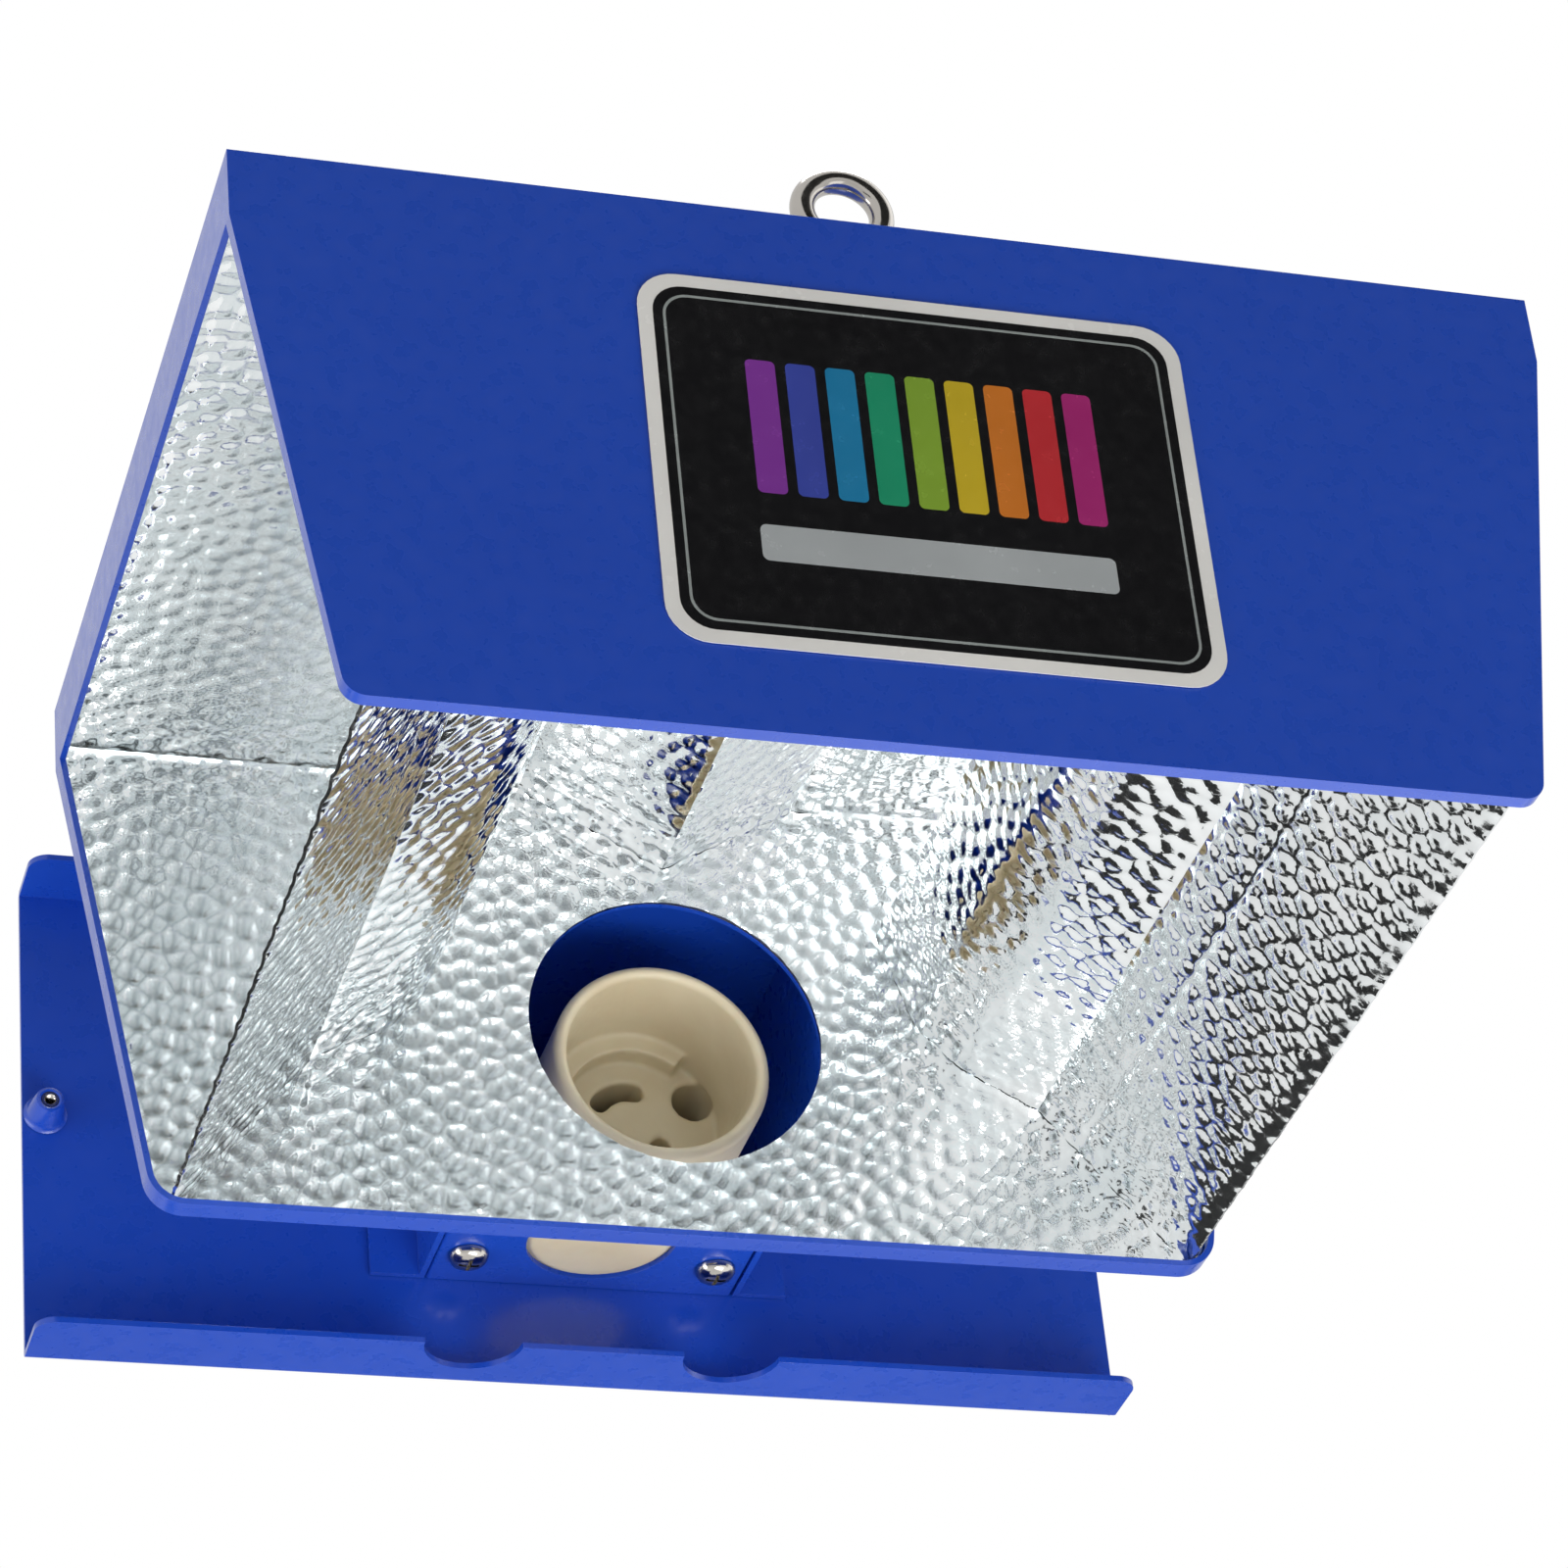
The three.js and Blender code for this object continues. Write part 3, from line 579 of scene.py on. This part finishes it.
def ceramic_outside(rim, back):
    """The cup, the block behind it, the ears for the screws and the round foot in the shelf."""
    body = lathe("lamp_holder_ceramic", [
        (0, rim), (24.5, rim), (25.4, rim + 0.3), (26.1, rim + 1), (26.3, rim + 2), (26.3, back - 1.5),
        (24.8, back), (0, back)], (0, 0, LAMP_Z), "Y", 128)
    block = prism("holder_block", rounded(-22, 22, 41.8, 70, 4), back - 2, 294)
    ears = prism("holder_ears", rounded(-37, 37, 277.5, 292.5, 5), 41.8, 47.8, "Z")
    foot = lathe("holder_foot", [
        (0, 40.3), (16.9, 40.3), (17.9, 41.2), (17.9, 43), (0, 43)], (0, 275.5, 0))
    return combine(body, [block, ears, foot], "UNION")


def lamp_holder():
    rim, floor, pocket = 214, 244.2, 270.2
    body = ceramic_outside(rim, back=250)
    recess = lathe("holder_recess", [
        (0, rim - 2), (24.2, rim - 2), (24.2, rim), (23.4, rim + 0.5), (23, rim + 1.3), (21.5, floor),
        (0, floor)], (0, 0, LAMP_Z), "Y", 128)
    combine(body, [recess], "DIFFERENCE")
    ledge = arc(0, LAMP_Z, 24, 52, 190, 48) + arc(0, LAMP_Z, 17.1, 190, 52, 48)
    combine(body, [prism("holder_ledge", ledge, floor - 5.5, floor + 1)], "UNION")
    x, z = around_lamp(25, 17.6)
    index = lathe("index_hole", [
        (0, floor - 1), (5, floor - 1), (5, pocket), (0, pocket)], (x, 0, z), "Y", 64)
    slots = [pin_slot(f"pin_slot_{turn}", turn, floor - 1, pocket) for turn in (0, 180)]
    ear_hole = [(0, 41), (2.8, 41), (2.8, 49), (0, 49)]
    spots = [(side * HOLDER_SCREW_X, HOLDER_SCREW_Y, 0) for side in (-1, 1)]
    ear_holes = [lathe("ear_hole", ear_hole, spot) for spot in spots]
    combine(body, [index, *slots, *ear_holes], "DIFFERENCE")
    remesh = body.modifiers.new("voxels", "REMESH")
    remesh.mode = "VOXEL"
    remesh.voxel_size = 0.6 * MM
    soften = body.modifiers.new("soften", "SMOOTH")
    soften.factor = 0.5
    soften.iterations = 4
    bake_modifiers(body)
    body.data.set_sharp_from_angle(angle=math.pi)
    place(body, CERAMIC, "ceramic", ROOT, "lamp_holder")


lamp_holder()


# ---------------------------------------------------------------- fasteners and eyes
def pan_screw(name, node, x, y, seat, top):
    """A pan-head screw from below with a cross recess in its crown."""
    head = lathe(name, [
        (0, seat - 3.1), (1.6, seat - 3.05), (3, seat - 2.75), (4.1, seat - 2.1), (4.75, seat - 1.2),
        (5, seat - 0.4), (4.95, seat), (2.4, seat), (2.4, top - 0.6), (1.9, top), (0, top)],
        (x, y, 0), "Z", 96)
    arms = []
    for u, v in ((2.5, 0.45), (0.45, 2.5)):
        outline = [(x - u, y - v), (x + u, y - v), (x + u, y + v), (x - u, y + v)]
        arms.append(prism("recess_arm", outline, seat - 4, seat - 1.5, "Z"))
    combine(head, arms, "DIFFERENCE")
    place(head, BRIGHT, "bright_steel", ROOT, node)


def hex_nut(name, node, x, y, low, high, across, bore, body):
    """A nut with chamfered corners and a threaded bore."""
    nut = prism(name, hexagon(x, y, across), low, high, "Z")
    r = across / math.sqrt(3)
    drop = 0.55
    crown = lathe("crown", [
        (0, low), (r - 0.9, low), (r + 0.05, low + drop), (r + 0.05, high - drop), (r - 0.9, high),
        (0, high)], (x, y, 0))
    combine(nut, [crown], "INTERSECT")
    hole = lathe("nut_hole", [
        (0, low - 1), (bore + 0.5, low - 1), (bore + 0.5, low), (bore, low + 0.5), (bore, high - 0.5),
        (bore + 0.5, high), (bore + 0.5, high + 1), (0, high + 1)], (x, y, 0), "Z", 48)
    combine(nut, [hole], "DIFFERENCE")
    place(nut, BRIGHT, "bright_steel", body, node)


def eye_ring(name, y):
    """The ring of an eye bolt: a bent round bar, in the plane of X and Z."""
    tube, mean, z = 2.8, 9.1, 162.5
    vertices, faces, around, across = [], [], 96, 28
    for i in range(around):
        a = 2 * math.pi * i / around
        for j in range(across):
            b = 2 * math.pi * j / across
            r = mean + tube * math.cos(b)
            vertices.append((r * math.cos(a), y + tube * math.sin(b), z + r * math.sin(a)))
            right, up = (i + 1) % around, (j + 1) % across
            faces.append([i * across + j, right * across + j, right * across + up, i * across + up])
    return outward(new_piece(f"eye_bolt_{name}_forged", vertices, faces))


def eye_stem(y, foot):
    """The threaded stem with a collar under the ring."""
    crest, root, pitch, thread_top = 2.9, 2.55, 1.0, 147
    stem = [(0, foot), (2.4, foot), (crest, foot + 0.5)]
    for k in range(int((thread_top - foot - 1) / pitch)):
        start = foot + 0.9 + pitch * k
        stem += [(crest, start), (root, start + pitch / 2)]
    stem += [(crest, thread_top + 0.4), (crest, 149.4), (3.6, 149.9), (4.2, 150.3), (4.2, 151.4),
             (3.7, 151.9), (3.1, 153), (0, 153)]
    return lathe("eye_stem", stem, (0, y, 0), "Z", 64)


def eye_bolt(name, body):
    """An eye bolt with its washer and its two nuts, which all turn with it."""
    low, high = node_mm(f"eye_bolt_{name}")
    y = (low[1] + high[1]) / 2
    ring = combine(eye_ring(name, y), [eye_stem(y, low[2])], "UNION")
    place(ring, BRIGHT, "bright_steel", body, f"eye_bolt_{name}")
    seat, top = (corner[2] for corner in node_mm(f"eye_washer_{name}"))
    washer = lathe(f"eye_washer_{name}_turned", [
        (3.4, seat), (7.3, seat), (7.5, seat + 0.2), (7.5, top - 0.3), (7.2, top), (3.5, top),
        (3.4, top - 0.1), (3.4, seat)], (0, y, 0))
    place(washer, BRIGHT, "bright_steel", body, f"eye_washer_{name}")
    for part in ("top", "lock"):
        node = f"eye_{part}_nut_{name}"
        seat, top = (corner[2] for corner in node_mm(node))
        hex_nut(f"{node}_chamfered", node, 0, y, seat, top, 10, 3.1, body)


def housing_rivet(node):
    """A blind rivet along Y, with its set end in front and its dimpled head behind."""
    low, high = node_mm(node)
    x, z = (low[0] + high[0]) / 2, (low[2] + high[2]) / 2
    front, back = low[1], high[1]
    rivet = lathe(f"{node}_set", [
        (0, front), (1.2, front), (2.1, front + 0.2), (2.6, front + 0.7), (2.6, front + 1), (1.6, front + 1),
        (1.6, back - 1), (3.2, back - 1), (3.1, back - 0.6), (2.4, back - 0.15), (1.3, back),
        (1.1, back - 0.35), (0, back - 0.4)], (x, 0, z), "Y", 48)
    place(rivet, BRIGHT, "bright_steel", ROOT, node)


def holder_fixing(side, name):
    """A screw through the shelf and the holder's ear, with its nut on top."""
    x, y = side * HOLDER_SCREW_X, HOLDER_SCREW_Y
    screw, nut = f"holder_screw_{name}", f"holder_nut_{name}"
    pan_screw(f"{screw}_crossed", screw, x, y, HOUSING_BOTTOM - 0.3, node_mm(screw)[1][2])
    seat, top = (corner[2] for corner in node_mm(nut))
    hex_nut(f"{nut}_chamfered", nut, x, y, seat, top, 8, 2.6, ROOT)


def holder_contact(node):
    """A sleeve deep in a pin slot, a little wider at its back."""
    low, high = node_mm(node)
    x, z = (low[0] + high[0]) / 2, (low[2] + high[2]) / 2
    front, back = low[1], high[1]
    sleeve = lathe(f"{node}_sprung", [
        (1.3, front), (1.5, front), (1.75, front + 0.8), (1.7, front + 4), (1.9, front + 7), (1.9, back),
        (1.3, back), (1.3, front)], (x, 0, z), "Y", 48)
    place(sleeve, BRASS, "brass", ROOT, node)


for side, name in ((-1, "left"), (1, "right")):
    tray_boss(side, name)
    holder_fixing(side, name)
    for level in ("lower", "upper"):
        housing_rivet(f"housing_rivet_{name}_{level}")
    holder_contact(f"holder_contact_{name}")

eye_bolt("front", "front_eye")
eye_bolt("rear", "rear_eye")


# ---------------------------------------------------------------- cable gland
def gland():
    """A cable gland through the tray: a hexagonal body, a domed cap with grips and a lock nut inside."""
    x, z, face = 0, 84.5, TRAY_BACK + 0.3
    body = prism("gland_body_moulded", hexagon(x, z, 20), face, face + 5)
    crown = lathe("gland_crown", [
        (0, face), (10.6, face), (11.6, face + 0.7), (11.6, face + 4.3), (10.6, face + 5), (0, face + 5)],
        (x, 0, z), "Y")
    combine(body, [crown], "INTERSECT")
    sleeve = [(0, 290.2), (7.5, 290.2)]
    for k in range(7):
        sleeve += [(8, 290.7 + 1.3 * k), (7.6, 291.3 + 1.3 * k)]
    sleeve += [(8, face), (8, face + 8), (0, face + 8)]
    combine(body, [lathe("gland_sleeve", sleeve, (x, 0, z), "Y")], "UNION")
    bore = lathe("gland_bore", [(0, 288), (4, 288), (4, face + 10), (0, face + 10)], (x, 0, z), "Y", 64)
    combine(body, [bore], "DIFFERENCE")
    place(body, NYLON, "black_nylon", ROOT, "gland_body")
    start, end = face + 8.3, face + 17
    dome = lathe("gland_dome_moulded", [
        (4, start), (9.6, start), (10, start + 0.4), (10, start + 4), (9.3, start + 6), (8, end - 0.9),
        (6.4, end - 0.1), (5, end), (4.2, end - 0.4), (4, end - 1), (4, start)], (x, 0, z), "Y")
    groove = [(0, start - 1), (0.7, start - 1), (0.7, start + 4.6), (0, start + 4.6)]
    grip_count, grip_circle = 18, 10.35
    grips = []
    for k in range(grip_count):
        a = 2 * math.pi * k / grip_count
        centre = (x + grip_circle * math.cos(a), 0, z + grip_circle * math.sin(a))
        grips.append(lathe("grip", groove, centre, "Y", 12))
    combine(dome, grips, "DIFFERENCE")
    place(dome, NYLON, "black_nylon", ROOT, "gland_dome")
    nut = prism("gland_lock_nut_moulded", hexagon(x, z, 19), 294.2, 298.2)
    hole = lathe("lock_hole", [(0, 293), (8.2, 293), (8.2, 299), (0, 299)], (x, 0, z), "Y", 64)
    combine(nut, [hole], "DIFFERENCE")
    place(nut, NYLON, "black_nylon", ROOT, "gland_lock_nut")


gland()


# ---------------------------------------------------------------- label
BAR_INKS = [
    (0.28, 0.05, 0.42), (0.06, 0.09, 0.5), (0.02, 0.28, 0.55), (0.02, 0.4, 0.2), (0.3, 0.5, 0.05),
    (0.75, 0.55, 0.03), (0.8, 0.24, 0.03), (0.7, 0.04, 0.05), (0.5, 0.03, 0.22),
]
BAR_WIDTH, BAR_GAP = 6.4, 2.2


def label():
    """A printed plate: white border, black field, a thin frame line and a plain row of colour bars."""
    low, high = node_mm("label_plate")
    z = (low[2] + high[2]) / 2
    half, tall = (high[0] - low[0]) / 2, (high[2] - low[2]) / 2
    plate, field, print_back, print_front = high[1], low[1] + 0.12, low[1] + 0.07, low[1] + 0.03

    def sheet(name, inset, corner, back, front):
        outline = rounded(-half + inset, half - inset, z - tall + inset, z + tall - inset, corner)
        return prism(name, outline, front, back)

    def printed(piece, ink, *nodes):
        place(piece, ink, "label_print", ROOT, *nodes)

    border = sheet("label_border", 0, 9, plate, field)
    printed(border, print_ink("label_white", (0.78, 0.77, 0.74)), "label_plate")
    black = sheet("label_field", 3.2, 7, field, print_back)
    printed(black, print_ink("label_black", (0.006, 0.006, 0.007)))
    line = sheet("label_line", 5.3, 5.6, print_back, print_front)
    combine(line, [sheet("line_cutter", 5.9, 5.1, low[1] + 1, low[1] - 1)], "DIFFERENCE")
    printed(line, print_ink("label_silver", (0.62, 0.68, 0.66), 0.6))
    for k, ink in enumerate(BAR_INKS):
        u = (k - (len(BAR_INKS) - 1) / 2) * (BAR_WIDTH + BAR_GAP)
        outline = rounded(u - BAR_WIDTH / 2, u + BAR_WIDTH / 2, z - 8, z + 26, 1.2)
        bar = prism(f"label_bar_{k + 1}", outline, print_front, print_back)
        printed(bar, print_ink(f"label_ink_{k + 1}", ink, 0.3))
    strip = prism("label_strip", rounded(-38, 38, z - 25, z - 16, 1.5), print_front, print_back)
    printed(strip, print_ink("label_strip_silver", (0.5, 0.53, 0.54), 0.25))


label()


# ---------------------------------------------------------------- stage, lights and camera
# Places here are in the frame's metres.
def stage_plane(name, centre, size, normal, color, glow):
    """A plain matt rectangle facing along normal, which may glow."""
    bpy.ops.mesh.primitive_plane_add(size=1, location=centre)
    plane = bpy.context.object
    plane.name = name
    plane.scale = (*size, 1)
    plane.rotation_euler = Vector(normal).to_track_quat("Z", "Y").to_euler()
    paint = Nodes(name, color, 0.9)
    paint.set("Emission Color", (1, 1, 1, 1))
    paint.set("Emission Strength", glow)
    plane.data.materials.append(paint.material)
    return plane


def area_light(name, position, target, size, power, color=(1, 1, 1)):
    """A soft rectangular light aimed at target."""
    data = bpy.data.lights.new(name, "AREA")
    data.shape = "RECTANGLE"
    data.size, data.size_y = size
    data.energy = power
    data.color = color
    light = bpy.data.objects.new(name, data)
    light.location = position
    light.rotation_euler = (Vector(target) - Vector(position)).to_track_quat("-Z", "Y").to_euler()
    bpy.context.scene.collection.objects.link(light)


def card(name, centre, size, normal, glow=0.0):
    """A black flag or a lit white panel beside the set that only shows in reflections."""
    panel = stage_plane(name, centre, size, normal, (0.004, 0.004, 0.004), glow)
    for kind in ("camera", "diffuse", "shadow"):
        setattr(panel, f"visible_{kind}", False)


def dome(name, radius, strength, seen_by):
    """A plain white dome that only one kind of ray sees: the camera's, or reflections."""
    bpy.ops.mesh.primitive_ico_sphere_add(subdivisions=3, radius=radius)
    shell = bpy.context.object
    shell.name = name
    material = bpy.data.materials.new(name)
    material.use_nodes = True
    tree = material.node_tree
    tree.nodes.clear()
    glow = tree.nodes.new("ShaderNodeEmission")
    glow.inputs["Strength"].default_value = strength
    output = tree.nodes.new("ShaderNodeOutputMaterial")
    tree.links.new(glow.outputs[0], output.inputs["Surface"])
    shell.data.materials.append(material)
    for kind in ("camera", "diffuse", "glossy", "transmission", "shadow", "volume_scatter"):
        setattr(shell, f"visible_{kind}", kind == seen_by)


dome("backdrop", 20, 1.0, "camera")
dome("reflected_studio", 18, 0.84, "glossy")
stage_plane("floor", (0, 0, -1.15), (14, 14), (0, 0, 1), (0.86, 0.86, 0.85), 0.4)


def plain_world(strength):
    world = bpy.data.worlds.new("studio")
    world.use_nodes = True
    background = world.node_tree.nodes["Background"]
    background.inputs["Color"].default_value = (1, 1, 1, 1)
    background.inputs["Strength"].default_value = strength
    bpy.context.scene.world = world
    bpy.context.scene.view_settings.view_transform = "Standard"


plain_world(0.32)
area_light("softbox_below", (0.25, -0.55, -1.05), (0, 0, 0.05), (0.9, 0.7), 10, (1, 0.985, 0.96))
area_light("softbox_left", (-1.5, -0.3, -0.35), (0, 0, 0.05), (0.5, 1.3), 9)
area_light("floor_light", (0.2, 0.2, 1.6), (0.1, 0, -1), (0.8, 0.8), 20)
card("flag_front", (0.7, -1.9, 1.2), (2.6, 1.8), (-0.25, 0.8, -0.5))
card("panel_right", (2.2, 0, -0.3), (1.7, 9), (-1, 0, 0), 1.5)
card("panel_floor_right", (1.4, 0, -1.12), (1.8, 5.6), (0, 0, 1), 1.5)
card("flag_below_tray", (0.11, 0.45, -0.19), (0.7, 0.14), (0, -1, 0))
card("flag_floor", (-0.62, 1.7, -1.12), (0.55, 0.85), (0.1, -0.1, 1))
card("flag_rear_left", (-1.75, 2.3, -0.8), (0.55, 0.5), (0.6, -0.8, 0.1))
card("flag_front_left", (-1.9, -2.4, -0.3), (0.35, 1.3), (0.6, 0.8, 0))
card("flag_rear_right", (1.55, 2.05, -0.25), (0.35, 0.4), (-0.6, -0.8, 0))

# The camera's place is in this script's millimetres, and its axes are in the frame.
CAMERA_PLACE = metres((-333.9, -838.6, -594.7))
CAMERA_RIGHT = Vector((0.957, -0.276, -0.087))
CAMERA_FORWARD = Vector((0.278, 0.789, 0.548))


def add_camera():
    data = bpy.data.cameras.new("camera")
    data.lens = 125.3
    data.sensor_width = 36
    data.clip_end = 50
    camera = bpy.data.objects.new("camera", data)
    forward = CAMERA_FORWARD.normalized()
    right = (CAMERA_RIGHT - forward * CAMERA_RIGHT.dot(forward)).normalized()
    up = right.cross(forward)
    turn = Matrix((right, up, -forward)).transposed().to_4x4()
    camera.matrix_world = Matrix.Translation(CAMERA_PLACE) @ turn
    bpy.context.scene.collection.objects.link(camera)
    bpy.context.scene.camera = camera


add_camera()
